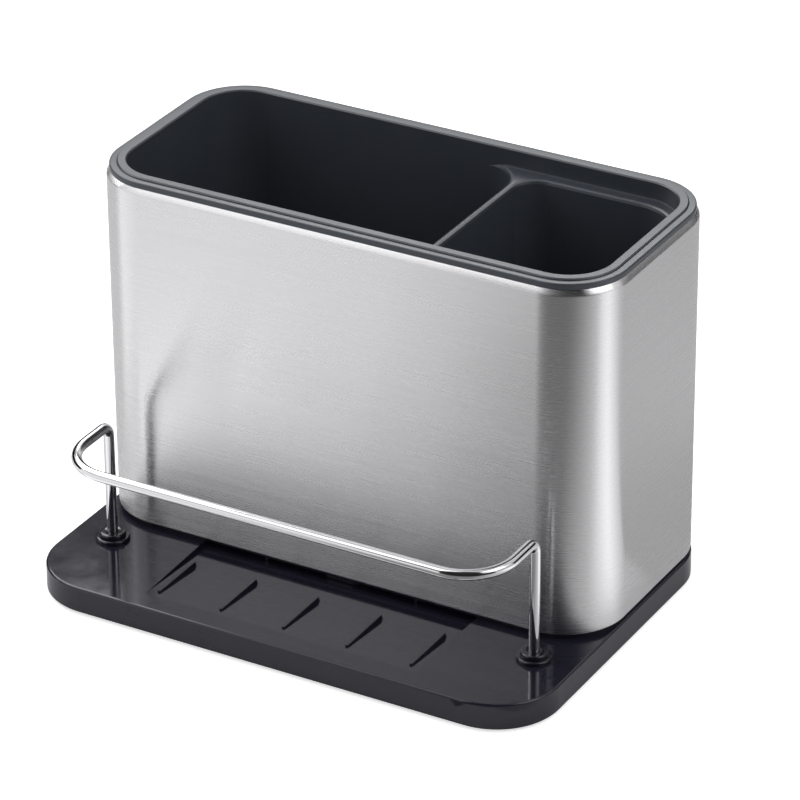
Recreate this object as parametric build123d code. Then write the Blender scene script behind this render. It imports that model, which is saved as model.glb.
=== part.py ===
from build123d import *
import math
import os

os.makedirs("parts", exist_ok=True)

# One factor scales every length of the caddy
scale = 1.0

# Moulded base with the draining deck in front
base_width = 208.0 * scale
base_depth = 147.2 * scale
base_height = 10.3 * scale
base_corner = 24.6 * scale
base_edge = 0.9 * scale
base_foot_edge = 0.6 * scale
base_wall = 2.2 * scale
base_floor = 2.4 * scale
deck_reach = 50.1 * scale
deck_skin = 2.2 * scale

# Ramp that drains the deck under the container
ramp_start = 8.6 * scale
ramp_side_front = 48.4 * scale
ramp_side_back = 46.8 * scale
ramp_angle = 2.6
ramp_end = 60.0 * scale

# Standing ribs of the deck
rib_front = 11.8 * scale
rib_back = 36.4 * scale
rib_pitch = 26.0 * scale
rib_count = 5
rib_top_width = 1.2 * scale
rib_proud = 0.5 * scale
rib_side_angle = 14.0
rib_root = 2.3 * scale
end_round_share = 0.98

# Well under the container and its stiffening below the deck
well_inset = 7.0 * scale
well_edge = 1.5 * scale
cell_rib = 1.6 * scale
cell_rib_count = 4
post_boss_diameter = 14.0 * scale
post_boss_foot = 3.0 * scale

# Rubber feet
foot_diameter = 11.0 * scale
foot_height = 1.6 * scale
foot_sink = 0.6 * scale
foot_edge = 0.4 * scale
foot_side_inset = 19.0 * scale
foot_front = 17.0 * scale
foot_rear_inset = 19.2 * scale
foot_boss_margin = 2.0 * scale
foot_proud = foot_height - foot_sink

# Bent wire rail
wire_diameter = 4.0 * scale
rail_side_inset = 16.4 * scale
rail_post_reach = 37.0 * scale
rail_front_reach = 2.9 * scale
rail_height = 57.5 * scale
rail_top_bend = 4.2 * scale
rail_corner = 18.5 * scale
rail_neck_diameter = 3.2 * scale
rail_neck_height = 2.6 * scale
rail_end_lift = 1.0 * scale

# Grommets where the wire enters the base
grommet_flange_diameter = 12.9 * scale
grommet_flange_height = 1.5 * scale
grommet_ring_diameter = 10.0 * scale
grommet_ring_height = 3.2 * scale
grommet_edge = 0.5 * scale
grommet_neck_diameter = 8.0 * scale
grommet_neck_depth = 4.0 * scale

# Push washers that hold the wire from below
washer_diameter = 9.0 * scale
washer_thickness = 0.8 * scale

# Stainless sleeve of the container
sleeve_width = 208.0 * scale
sleeve_depth = 96.0 * scale
sleeve_corner = 24.0 * scale
sleeve_wall = 0.6 * scale
sleeve_lift = 12.0 * scale
sleeve_height = 136.4 * scale
hem_width = 1.8 * scale
hem_height = 6.0 * scale
hem_edge = 0.7 * scale
seam_lap = 14.0 * scale
seam_groove = 0.5 * scale
seam_groove_depth = 0.3 * scale

# Fits between the pieces, and how close two heights are taken as level
level_margin = 0.001 * scale
press_gap = 0.05 * scale
hem_gap = 0.1 * scale
seat_gap = 0.3 * scale
rest_gap = 0.02 * scale
skirt_gap = 0.4 * scale

# Collar on top of the sleeve
collar_drop = 1.1 * scale
collar_band = 1.6 * scale
collar_edge = 0.35 * scale
collar_seat_drop = 1.8 * scale
collar_seat_thickness = 2.0 * scale
collar_seat_width = 1.5 * scale
collar_depth = 20.0 * scale
snap_length = 16.0 * scale
snap_height = 2.4 * scale
snap_reach = 0.9 * scale
snap_side_share = 0.27

# Frame under the sleeve
frame_foot_inset = 2.6 * scale
frame_foot_width = 6.0 * scale
frame_wall = 1.6 * scale
frame_rise = 14.0 * scale
frame_skirt_depth = 3.2 * scale
frame_skirt_width = 1.8 * scale
frame_mouth_margin = 2.0 * scale
tongue_width = 15.0 * scale
tongue_depth = 5.0 * scale
tongue_drop = 1.8 * scale
guide_place = 31.2 * scale
guide_width = 1.2 * scale
guide_depth = 8.0 * scale

# Lift-out liner
rim_top = 150.9 * scale
rim_width = 3.6 * scale
rim_edge = 0.45 * scale
liner_wall = 2.0 * scale
liner_draft = 0.8
liner_floor = 2.2 * scale
liner_bottom = 17.0 * scale
liner_foot_edge = 3.0 * scale
floor_edge = 2.5 * scale
ledge_drop = 7.0 * scale
ledge_blend = 1.2 * scale
ledge_root = 0.5 * scale
ledge_width = 4.9 * scale
partition_left = 28.5 * scale
partition_width = 2.8 * scale
partition_draft = 0.3
corner_at_ledge = 14.5 * scale
corner_at_front = 7.0 * scale
pocket_left_corner = 9.5 * scale
pocket_right_corner = 18.5 * scale
blend_steps = 2
core_margin = 2.0 * scale
core_side_margin = 8.0 * scale
core_width = 1.6 * scale
drain_slot_length = 15.0 * scale
drain_slot_width = 4.0 * scale
drain_rows = 3
drain_main_columns = 5
drain_pocket_columns = 2
drain_margin = 13.0 * scale

# Places that follow from the driving dimensions
base_half = base_width / 2
ramp_half_front = base_half - ramp_side_front
ramp_half_back = base_half - ramp_side_back
rail_half_width = base_half - rail_side_inset
foot_side = base_half - foot_side_inset
base_bottom = foot_proud
base_top = base_bottom + base_height
front_y = -base_depth / 2
container_front = front_y + deck_reach
container_y = container_front + sleeve_depth / 2
sleeve_bottom = base_bottom + sleeve_lift
sleeve_top = sleeve_bottom + sleeve_height
rim_z = base_bottom + rim_top
ledge_z = rim_z - ledge_drop
collar_top = rim_z - collar_drop
collar_inset = hem_width + hem_gap
flange_inset = collar_inset + collar_band + seat_gap
mouth_inset = flange_inset + rim_width
well_floor_z = base_bottom + base_floor
post_y = front_y + rail_post_reach
rail_z = base_bottom + rail_height


def angle_run(length, degrees):
    """Sideways run of a drafted face over a length."""
    return length * math.tan(math.radians(degrees))


def rounded_face(x0, x1, y0, y1, corners, z):
    """Level face with four corner radii in the order front left, front right, back right, back left."""
    fl, fr, br, bl = corners
    edges = [
        Line((x0 + fl, y0), (x1 - fr, y0)),
        CenterArc((x1 - fr, y0 + fr), fr, -90, 90),
        Line((x1, y0 + fr), (x1, y1 - br)),
        CenterArc((x1 - br, y1 - br), br, 0, 90),
        Line((x1 - br, y1), (x0 + bl, y1)),
        CenterArc((x0 + bl, y1 - bl), bl, 90, 90),
        Line((x0, y1 - bl), (x0, y0 + fl)),
        CenterArc((x0 + fl, y0 + fl), fl, 180, 90),
    ]
    return Pos(0, 0, z) * make_face(edges)


def container_face(inset, z):
    """Level outline of the container, drawn in from the outer face of the sleeve."""
    half_x = sleeve_width / 2 - inset
    half_y = sleeve_depth / 2 - inset
    radius = sleeve_corner - inset
    return rounded_face(-half_x, half_x, container_y - half_y, container_y + half_y, (radius,) * 4, z)


def between(low, high):
    """Solid with ruled sides between two level faces."""
    return loft([low, high], ruled=True)


def container_ring(outer_inset, inner_inset, z0, z1):
    """Upright band that follows the container outline."""
    outer = extrude(container_face(outer_inset, z0), z1 - z0)
    inner = extrude(container_face(inner_inset, z0), z1 - z0)
    return outer - inner


def level_edges(shape, z):
    """Edges that lie level at a height."""
    return shape.edges().filter_by_position(Axis.Z, z - level_margin, z + level_margin)


def box_between(x0, x1, y0, y1, z0, z1):
    """Box from its six faces."""
    return Pos((x0 + x1) / 2, (y0 + y1) / 2, (z0 + z1) / 2) * Box(x1 - x0, y1 - y0, z1 - z0)


def rod(x, y, diameter, z0, z1):
    """Upright cylinder between two heights."""
    return Pos(x, y, (z0 + z1) / 2) * Cylinder(diameter / 2, z1 - z0)


def side_profile(points, half_width):
    """Solid with a profile in depth and height, as wide as asked to both sides."""
    face = make_face(Polyline(*[(0, y, z) for y, z in points], close=True))
    return extrude(face, half_width, dir=(1, 0, 0), both=True)


def ramp_depth(y):
    """Depth of the draining ramp below the deck at a place."""
    return angle_run(y - front_y - ramp_start, ramp_angle)


def fan_face(margin, z):
    """Level outline of the ramp, widening towards the container."""
    y0 = front_y + ramp_start - margin
    y1 = front_y + ramp_end
    front = ramp_half_front + margin
    back = ramp_half_back + margin
    points = [(-front, y0), (front, y0), (back, y1), (-back, y1)]
    return Pos(0, 0, z) * make_face(Polyline(*points, close=True))


def well_face(margin, z):
    """Level outline of the well, drawn in from the container outline."""
    return container_face(well_inset + margin, z)


# Base with ramp, ribs, well and hollow underside
outline = rounded_face(-base_half, base_half, front_y, -front_y, (base_corner,) * 4, base_bottom)
body = extrude(outline, base_height)
body = fillet(level_edges(body, base_top), base_edge)
body = chamfer(level_edges(body, base_bottom), base_foot_edge)

ramp_y0 = front_y + ramp_start
ramp_y1 = front_y + ramp_end
over_deck = base_top + base_wall
ramp_points = [
    (ramp_y0, base_top),
    (ramp_y1, base_top - ramp_depth(ramp_y1)),
    (ramp_y1, over_deck),
    (ramp_y0, over_deck),
]
wedge = side_profile(ramp_points, base_half)
wedge = wedge & extrude(fan_face(0, base_bottom), base_height + base_wall)
body -= wedge

well = extrude(well_face(0, well_floor_z), base_top - well_floor_z)
well = chamfer(level_edges(well, well_floor_z), well_edge)
body -= well

rib_half = rib_top_width / 2
rib_flare = angle_run(rib_root + rib_proud, rib_side_angle)
for index in range(rib_count):
    rib_x = (index - (rib_count - 1) / 2) * rib_pitch
    y0 = front_y + rib_front
    y1 = front_y + rib_back
    low_half = rib_half + rib_flare
    tip = rib_half * end_round_share
    tail = low_half * end_round_share
    top = rounded_face(rib_x - rib_half, rib_x + rib_half, y0, y1, (tip,) * 4, base_top + rib_proud)
    foot_corners = (tip, tip, tail, tail)
    foot_y1 = y1 + rib_flare
    low = rounded_face(rib_x - low_half, rib_x + low_half, y0, foot_y1, foot_corners, base_top - rib_root)
    body += between(low, top)

# Hollow under the deck, roofed parallel to the ramp, with stiffening ribs left standing
hollow_y0 = front_y + base_wall
hollow_y1 = container_front + well_inset - base_wall
hollow_roof0 = base_top - deck_skin
hollow_roof1 = base_top - deck_skin - ramp_depth(hollow_y1)
hollow_points = [
    (hollow_y0, base_bottom),
    (hollow_y1, base_bottom),
    (hollow_y1, hollow_roof1),
    (ramp_y0, hollow_roof0),
    (hollow_y0, hollow_roof0),
]
hollow = side_profile(hollow_points, base_half)
wall_half = base_half - base_wall
wall_corners = (base_corner - base_wall,) * 4
inside = rounded_face(-wall_half, wall_half, hollow_y0, -hollow_y0, wall_corners, base_bottom)
hollow = hollow & extrude(inside, base_height)
for index in range(cell_rib_count):
    rib_x = (index - (cell_rib_count - 1) / 2) * base_width / (cell_rib_count + 1)
    cell_half = cell_rib / 2
    hollow -= box_between(rib_x - cell_half, rib_x + cell_half, hollow_y0, hollow_y1, base_bottom, base_top)
foot_boss = foot_diameter + 2 * foot_boss_margin
for side in (-1, 1):
    x = side * rail_half_width
    hollow -= rod(x, post_y, post_boss_diameter, base_bottom + post_boss_foot, base_top)
    hollow -= rod(side * foot_side, front_y + foot_front, foot_boss, base_bottom, base_top)
body -= hollow

neck_bore = grommet_neck_diameter + 2 * press_gap
wire_bore = wire_diameter + 2 * press_gap
for side in (-1, 1):
    x = side * rail_half_width
    body -= rod(x, post_y, neck_bore, base_top - grommet_neck_depth, base_top)
    body -= rod(x, post_y, wire_bore, base_bottom + post_boss_foot, base_top)
foot_places = {
    "foot_front_left": (-foot_side, front_y + foot_front),
    "foot_front_right": (foot_side, front_y + foot_front),
    "foot_rear_left": (-foot_side, -front_y - foot_rear_inset),
    "foot_rear_right": (foot_side, -front_y - foot_rear_inset),
}
for x, y in foot_places.values():
    body -= rod(x, y, foot_diameter + 2 * press_gap, base_bottom, base_bottom + foot_sink)
base_tray = body

# Rubber feet
feet = {}
for name, (x, y) in foot_places.items():
    pad = rod(x, y, foot_diameter, 0, foot_height)
    feet[name] = chamfer(level_edges(pad, 0), foot_edge)

# Wire rail swept along its bent centre line
post_top = rail_z - rail_top_bend
front_bar_y = front_y + rail_front_reach
rail_foot = base_bottom + rail_end_lift
neck_top = rail_foot + rail_neck_height
left = -rail_half_width
right = rail_half_width
bend_share = math.sqrt(0.5)
path = Polyline((left, post_y, neck_top), (left, post_y, post_top))
path += ThreePointArc(
    (left, post_y, post_top),
    (left, post_y - rail_top_bend * (1 - bend_share), post_top + rail_top_bend * bend_share),
    (left, post_y - rail_top_bend, rail_z),
)
path += Line((left, post_y - rail_top_bend, rail_z), (left, front_bar_y + rail_corner, rail_z))
path += ThreePointArc(
    (left, front_bar_y + rail_corner, rail_z),
    (left + rail_corner * (1 - bend_share), front_bar_y + rail_corner * (1 - bend_share), rail_z),
    (left + rail_corner, front_bar_y, rail_z),
)
path += Line((left + rail_corner, front_bar_y, rail_z), (right - rail_corner, front_bar_y, rail_z))
path += ThreePointArc(
    (right - rail_corner, front_bar_y, rail_z),
    (right - rail_corner * (1 - bend_share), front_bar_y + rail_corner * (1 - bend_share), rail_z),
    (right, front_bar_y + rail_corner, rail_z),
)
path += Line((right, front_bar_y + rail_corner, rail_z), (right, post_y - rail_top_bend, rail_z))
path += ThreePointArc(
    (right, post_y - rail_top_bend, rail_z),
    (right, post_y - rail_top_bend * (1 - bend_share), post_top + rail_top_bend * bend_share),
    (right, post_y, post_top),
)
path += Line((right, post_y, post_top), (right, post_y, neck_top))
section = Plane((left, post_y, neck_top), z_dir=(0, 0, 1)) * Circle(wire_diameter / 2)
guard_rail = sweep(section, path=path)
for side in (-1, 1):
    guard_rail += rod(side * rail_half_width, post_y, rail_neck_diameter, rail_foot, neck_top)

# Grommets and push washers, turned about the posts
grommets = {}
washers = {}
for side, word in ((-1, "left"), (1, "right")):
    x = side * rail_half_width
    flange = rod(x, post_y, grommet_flange_diameter, base_top, base_top + grommet_flange_height)
    flange = chamfer(level_edges(flange, base_top + grommet_flange_height), grommet_edge)
    ring = rod(x, post_y, grommet_ring_diameter, base_top, base_top + grommet_ring_height)
    ring = chamfer(level_edges(ring, base_top + grommet_ring_height), grommet_edge)
    neck = rod(x, post_y, grommet_neck_diameter, base_top - grommet_neck_depth, base_top)
    plug = flange + ring + neck
    plug -= rod(x, post_y, wire_bore, base_top - grommet_neck_depth, base_top + grommet_ring_height)
    grommets["rail_grommet_" + word] = plug
    washer_top = base_bottom + post_boss_foot
    plate = rod(x, post_y, washer_diameter, washer_top - washer_thickness, washer_top)
    plate -= rod(x, post_y, rail_neck_diameter + 2 * press_gap, washer_top - washer_thickness, washer_top)
    washers["rail_washer_" + word] = plate

# Stainless sleeve with folded hems and a lapped seam at the back
sleeve = container_ring(0, sleeve_wall, sleeve_bottom, sleeve_top)
for z0 in (sleeve_bottom, sleeve_top - hem_height):
    sleeve += container_ring(0, hem_width, z0, z0 + hem_height)
for z0 in (sleeve_bottom, sleeve_top):
    sleeve = chamfer(level_edges(sleeve, z0), hem_edge)
sleeve_back = container_y + sleeve_depth / 2
sleeve += box_between(
    -seam_lap / 2,
    seam_lap / 2,
    sleeve_back - 2 * sleeve_wall,
    sleeve_back - sleeve_wall,
    sleeve_bottom + hem_height,
    sleeve_top - hem_height,
)
sleeve -= box_between(
    seam_lap / 2 - seam_groove,
    seam_lap / 2,
    sleeve_back - seam_groove_depth,
    sleeve_back + sleeve_wall,
    sleeve_bottom,
    sleeve_top,
)
steel_sleeve = sleeve


def snap_wedges(z_low, z_high, inset):
    """Snap wedges on the long sides, full at the height that catches the hem."""
    wedges = []
    for side in (-1, 1):
        wall_y = container_y + side * (sleeve_depth / 2 - inset)
        for place in (-1, 0, 1):
            if side > 0 and place == 0:
                continue
            x = place * snap_side_share * sleeve_width
            profile = make_face(
                Polyline(
                    (0, wall_y - side * frame_wall / 2, z_low),
                    (0, wall_y + side * snap_reach, z_low),
                    (0, wall_y, z_high),
                    (0, wall_y - side * frame_wall / 2, z_high),
                    close=True,
                )
            )
            wedges.append(Pos(x, 0, 0) * extrude(profile, snap_length / 2, dir=(1, 0, 0), both=True))
    return wedges


# Collar on the top hem, with the seat for the liner
collar_foot = sleeve_top - collar_depth
seat_z = rim_z - collar_seat_drop - rest_gap
collar = container_ring(collar_inset, collar_inset + collar_band, collar_foot, collar_top)
collar = chamfer(level_edges(collar, collar_top), collar_edge)
seat_inner = flange_inset + collar_seat_width
collar += container_ring(collar_inset + collar_band / 2, seat_inner, seat_z - collar_seat_thickness, seat_z)
hem_under = sleeve_top - hem_height
for wedge_part in snap_wedges(hem_under - rest_gap, hem_under - snap_height, collar_inset):
    collar += wedge_part
top_collar = collar

# Frame that closes the sleeve from below and stands on the base
frame_foot = base_top + rest_gap
frame_head = sleeve_bottom - hem_gap
frame_inset = hem_width + hem_gap
upstand_inner = frame_inset + frame_wall
foot_ring = container_ring(frame_foot_inset, frame_foot_inset + frame_foot_width, frame_foot, frame_head)
upstand = container_ring(frame_inset, upstand_inner, frame_foot, sleeve_bottom + frame_rise)
frame = foot_ring + upstand
skirt_outer = well_inset + skirt_gap
skirt_inner = skirt_outer + frame_skirt_width
skirt = container_ring(skirt_outer, skirt_inner, frame_foot - frame_skirt_depth, frame_head)
mouth_half = ramp_half_back + frame_mouth_margin
skirt -= box_between(-mouth_half, mouth_half, container_front, container_y, base_bottom, frame_foot)
frame += skirt
tongue_y0 = container_front + frame_foot_inset
tongue_half = tongue_width / 2
tongue_corners = (tongue_depth / 2 * end_round_share,) * 4
tongue_foot = frame_foot - tongue_drop
tongue_y1 = tongue_y0 + tongue_depth
tongue = rounded_face(-tongue_half, tongue_half, tongue_y0, tongue_y1, tongue_corners, tongue_foot)
frame += extrude(tongue, frame_head - tongue_foot)
for side in (-1, 1):
    x0 = side * guide_place - guide_width / 2
    frame += box_between(x0, x0 + guide_width, tongue_y0, tongue_y0 + guide_depth, tongue_foot, frame_head)
hem_over = sleeve_bottom + hem_height
for wedge_part in snap_wedges(hem_over + rest_gap, hem_over + snap_height, frame_inset):
    frame += wedge_part
bottom_frame = frame


def liner_face(extra_inset, z):
    """Drafted outline of the liner at a height, drawn in from the mouth."""
    return container_face(mouth_inset + extra_inset + angle_run(rim_z - z, liner_draft), z)


def main_face(grow, z):
    """Outline of the main compartment at a height, grown outwards when asked."""
    drawn = mouth_inset + angle_run(rim_z - z, liner_draft) - grow
    lean = angle_run(ledge_z - z, partition_draft)
    x0 = -sleeve_width / 2 + drawn
    x1 = partition_left - lean + grow
    y0 = container_y - sleeve_depth / 2 + drawn
    y1 = container_y + sleeve_depth / 2 - drawn
    corner = sleeve_corner - drawn
    corners = (corner, corner_at_front + grow, corner_at_ledge + grow, corner)
    return rounded_face(x0, x1, y0, y1, corners, z)


def pocket_face(grow, z):
    """Outline of the small compartment at a height, grown outwards when asked."""
    drawn = mouth_inset + angle_run(rim_z - z, liner_draft) - grow
    lean = angle_run(ledge_z - z, partition_draft)
    x0 = partition_left + partition_width + lean - grow
    x1 = sleeve_width / 2 - drawn
    y0 = container_y - sleeve_depth / 2 + drawn
    y1 = container_y + sleeve_depth / 2 - drawn - ledge_width
    corner = sleeve_corner - drawn
    corners = (corner_at_front + grow, corner, pocket_right_corner + grow, pocket_left_corner + grow)
    return rounded_face(x0, x1, y0, y1, corners, z)


def blend_point(radius, step):
    """Sideways and upright run of a quarter round blend after a number of its steps."""
    turn = math.radians(90 * step / blend_steps)
    return radius * (1 - math.cos(turn)), radius * math.sin(turn)


# Liner with the sunken ledge, the partition that flares into the back wall, and the drains
liner_z = base_bottom + liner_bottom
floor_top = liner_z + liner_floor
liner = between(liner_face(-liner_wall, liner_z), liner_face(-liner_wall, rim_z))
liner = chamfer(level_edges(liner, liner_z), liner_foot_edge)
flange = extrude(container_face(flange_inset, rim_z - collar_seat_drop), collar_seat_drop)
liner += flange

basin = between(liner_face(0, ledge_z + ledge_root), liner_face(0, rim_z))
for step in range(blend_steps):
    low_in, low_drop = blend_point(ledge_root, step + 1)
    high_in, high_drop = blend_point(ledge_root, step)
    low_face = liner_face(low_in, ledge_z + ledge_root - low_drop)
    high_face = liner_face(high_in, ledge_z + ledge_root - high_drop)
    basin += between(low_face, high_face)

main = between(main_face(0, floor_top), main_face(0, ledge_z))
main = chamfer(level_edges(main, floor_top), floor_edge)
pocket = between(pocket_face(0, floor_top), pocket_face(0, ledge_z))
pocket = chamfer(level_edges(pocket, floor_top), floor_edge)

mouth_block = between(liner_face(0, ledge_z - 2 * ledge_blend), liner_face(0, ledge_z + ledge_blend))
for face_of in (main_face, pocket_face):
    for step in range(blend_steps):
        low_out, low_rise = blend_point(ledge_blend, step)
        high_out, high_rise = blend_point(ledge_blend, step + 1)
        low_face = face_of(low_out, ledge_z - ledge_blend + low_rise)
        high_face = face_of(high_out, ledge_z - ledge_blend + high_rise)
        flare = between(low_face, high_face) & mouth_block
        if face_of is main_face:
            main += flare
        else:
            pocket += flare
over_ledge = between(main_face(ledge_blend, ledge_z), main_face(ledge_blend, ledge_z + ledge_root))
main += over_ledge & mouth_block
liner -= basin
liner -= main
liner -= pocket

core_y1 = container_y + sleeve_depth / 2 - mouth_inset - angle_run(rim_z - liner_z, liner_draft)
core_x0 = partition_left + partition_width + core_side_margin
core_x1 = sleeve_width / 2 - mouth_inset - sleeve_corner / 2 - core_side_margin
core_corners = (core_width / 2 * end_round_share,) * 4
core = rounded_face(core_x0, core_x1, core_y1 - core_width, core_y1, core_corners, liner_z)
liner -= extrude(core, ledge_z - core_margin - liner_z)


def drain_slots(x0, x1, columns):
    """Rows of long drain slots through the floor between two places."""
    slots = []
    depth = sleeve_depth - 2 * mouth_inset - 2 * drain_margin
    half_length = drain_slot_length / 2
    half_width = drain_slot_width / 2
    for row in range(drain_rows):
        y = container_y + (row - (drain_rows - 1) / 2) * depth / (drain_rows - 1)
        for column in range(columns):
            x = x0 + (2 * column + 1) * (x1 - x0) / (2 * columns)
            x_low = x - half_length
            x_high = x + half_length
            slots.append(box_between(x_low, x_high, y - half_width, y + half_width, liner_z, floor_top))
    return slots


main_x0 = -sleeve_width / 2 + mouth_inset + drain_margin / 2
main_x1 = partition_left - drain_margin / 2
pocket_x0 = partition_left + partition_width + drain_margin / 2
pocket_x1 = sleeve_width / 2 - mouth_inset - drain_margin / 2
slots = drain_slots(main_x0, main_x1, drain_main_columns)
slots += drain_slots(pocket_x0, pocket_x1, drain_pocket_columns)
for slot in slots:
    liner -= slot
liner = chamfer(level_edges(liner, rim_z), rim_edge)
inner_liner = liner

nodes = {
    "base_tray": base_tray,
    "guard_rail": guard_rail,
    "steel_sleeve": steel_sleeve,
    "top_collar": top_collar,
    "bottom_frame": bottom_frame,
    "inner_liner": inner_liner,
}
nodes.update(grommets)
nodes.update(washers)
nodes.update(feet)

for name, shape in nodes.items():
    solids = shape.solids()
    if len(solids) != 1:
        raise ValueError(f"{name} is made of {len(solids)} solids")
    solid = solids[0]
    solid.label = name
    export_step(solid, f"parts/{name}.step")
    bounds = solid.bounding_box()
    print(name, round(solid.volume), [round(v, 2) for v in bounds.min], [round(v, 2) for v in bounds.max])
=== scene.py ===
"""Kitchen sink caddy: a brushed steel container on a dark moulded tray with a bent wire rail.

Every size is in metres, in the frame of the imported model.
"""

import logging
import math
from dataclasses import dataclass, field
from enum import Enum

import bmesh
import bpy
from mathutils import Euler, Matrix, Vector

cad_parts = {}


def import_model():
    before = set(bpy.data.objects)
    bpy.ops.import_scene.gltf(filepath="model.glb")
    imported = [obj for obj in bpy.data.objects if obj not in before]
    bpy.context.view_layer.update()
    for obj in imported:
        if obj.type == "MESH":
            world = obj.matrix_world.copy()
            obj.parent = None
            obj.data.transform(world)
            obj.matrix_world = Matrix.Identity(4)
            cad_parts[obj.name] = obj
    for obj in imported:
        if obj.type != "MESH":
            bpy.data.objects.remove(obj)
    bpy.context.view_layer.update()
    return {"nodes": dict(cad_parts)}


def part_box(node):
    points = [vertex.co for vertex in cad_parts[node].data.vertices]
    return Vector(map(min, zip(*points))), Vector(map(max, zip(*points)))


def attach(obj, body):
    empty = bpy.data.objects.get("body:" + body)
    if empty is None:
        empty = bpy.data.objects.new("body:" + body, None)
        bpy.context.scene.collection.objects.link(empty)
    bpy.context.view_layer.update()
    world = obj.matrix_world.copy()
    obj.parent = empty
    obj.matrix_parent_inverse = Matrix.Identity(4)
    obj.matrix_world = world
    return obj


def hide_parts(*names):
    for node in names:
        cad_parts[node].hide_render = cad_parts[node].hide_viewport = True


LOG = logging.getLogger("caddy")
MM = 0.001
QUARTER_TURN = math.pi / 2
FULL_TURN = 2 * math.pi
FULL_CIRCLE = 360.0
WHITE = (1.0, 1.0, 1.0, 1.0)
# Points nearer than this are one point
WELD = 0.001 * MM
# An edge that turns by more than this is drawn sharp
SHARP_TURN = math.radians(28)

Rim = list[bmesh.types.BMEdge]


class Gloss(Enum):
    """How the mould was finished, as the roughness it leaves on the plastic."""

    POLISHED = 0.08
    SEMI_GLOSS = 0.24
    SATIN = 0.34


def linear(code: str) -> tuple[float, float, float, float]:
    """Turn an sRGB hex colour to linear light.

    Args:
        code: Six hex digits, red first.

    Returns:
        Linear red, green and blue, and an alpha of one.
    """
    values = [int(code[place:place + 2], 16) / 255 for place in (0, 2, 4)]
    light = [v / 12.92 if v <= 0.04045 else ((v + 0.055) / 1.055) ** 2.4 for v in values]
    return (*light, 1.0)


def add_node(
    tree: bpy.types.NodeTree, kind: str, values: dict | None = None, links: dict | None = None, **settings
) -> bpy.types.Node:
    """Add a shader node with its settings, constants and incoming links.

    Args:
        tree: Tree that gets the node.
        kind: Node type, such as ShaderNodeBump.
        values: Constants by input name or number.
        links: Output sockets by input name or number.
        settings: Properties of the node itself.

    Returns:
        The new node.
    """
    node = tree.nodes.new(kind)
    for name, value in settings.items():
        setattr(node, name, value)
    for name, value in (values or {}).items():
        node.inputs[name].default_value = value
    for name, socket in (links or {}).items():
        tree.links.new(socket, node.inputs[name])
    return node


def new_material(name: str) -> tuple[bpy.types.Material, bpy.types.NodeTree]:
    """Make an empty node material.

    Args:
        name: Name of the finish.

    Returns:
        The material and its node tree.
    """
    material = bpy.data.materials.new(name)
    material.use_nodes = True
    material.node_tree.nodes.clear()
    return material, material.node_tree


def scaled_place(
    tree: bpy.types.NodeTree, scale: tuple[float, float, float] = (1.0, 1.0, 1.0)
) -> bpy.types.NodeSocket:
    """Give object coordinates, stretched for a pattern that isn't even.

    Args:
        tree: Tree that gets the nodes.
        scale: Factors along X, Y and Z.

    Returns:
        The vector socket.
    """
    place = add_node(tree, "ShaderNodeTexCoord")
    mapping = add_node(
        tree, "ShaderNodeMapping", values={"Scale": scale}, links={"Vector": place.outputs["Object"]}
    )
    return mapping.outputs["Vector"]


@dataclass(frozen=True)
class BrushedStainless:
    """Stainless sheet, belt ground along its length before it was folded round the container.

    The grain runs level round the sleeve, so reflections smear up and down and stay narrow sideways.
    """

    name: str = "brushed_stainless_sheet"
    colour: str = "E4E3E5"
    shade: str = "D9D8DB"
    roughness: float = 0.27
    roughness_swing: float = 0.02
    anisotropy: float = 0.98
    # The belt leaves scratches about 0.05 mm apart; they are drawn at 0.25 mm so that they show
    grain_spacing: float = 0.25 * MM
    grain_length: float = 45 * MM
    grain_depth: float = 0.004 * MM
    grain_strength: float = 0.07
    # Broad streaks are this many times as wide as the scratches, and twice as long
    streak_widths: int = 9
    grain_map: str = "grain"

    def build(self) -> bpy.types.Material:
        """Make the material.

        Returns:
            The finished material.
        """
        material, tree = new_material(self.name)
        along = 1 / self.grain_length
        across = 1 / self.grain_spacing
        fine = add_node(
            tree, "ShaderNodeTexNoise", values={"Scale": 1.0, "Detail": 3.0, "Roughness": 0.6},
            links={"Vector": scaled_place(tree, (along, along, across))},
        )
        broad = add_node(
            tree, "ShaderNodeTexNoise", values={"Scale": 1.0, "Detail": 2.0},
            links={"Vector": scaled_place(tree, (along / 2, along / 2, across / self.streak_widths))},
        )
        streaks = add_node(
            tree, "ShaderNodeMath", operation="ADD",
            links={0: fine.outputs["Fac"], 1: broad.outputs["Fac"]},
        )
        # The two noises together run from about 0.6 to 1.4
        rough = add_node(
            tree, "ShaderNodeMapRange",
            values={
                "From Min": 0.6, "From Max": 1.4,
                "To Min": self.roughness - self.roughness_swing,
                "To Max": self.roughness + self.roughness_swing,
            },
            links={"Value": streaks.outputs[0]},
        )
        tint = add_node(
            tree, "ShaderNodeMix", data_type="RGBA", clamp_factor=True,
            values={6: linear(self.shade), 7: linear(self.colour)},
            links={0: streaks.outputs[0]},
        )
        bump = add_node(
            tree, "ShaderNodeBump", values={"Strength": self.grain_strength, "Distance": self.grain_depth},
            links={"Height": fine.outputs["Fac"]},
        )
        tangent = add_node(tree, "ShaderNodeTangent", direction_type="UV_MAP", uv_map=self.grain_map)
        shader = add_node(
            tree, "ShaderNodeBsdfPrincipled",
            values={"Metallic": 1.0, "Anisotropic": self.anisotropy},
            links={
                "Base Color": tint.outputs[2], "Roughness": rough.outputs[0],
                "Normal": bump.outputs[0], "Tangent": tangent.outputs[0],
            },
        )
        add_node(tree, "ShaderNodeOutputMaterial", links={"Surface": shader.outputs[0]})
        return material


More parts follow.
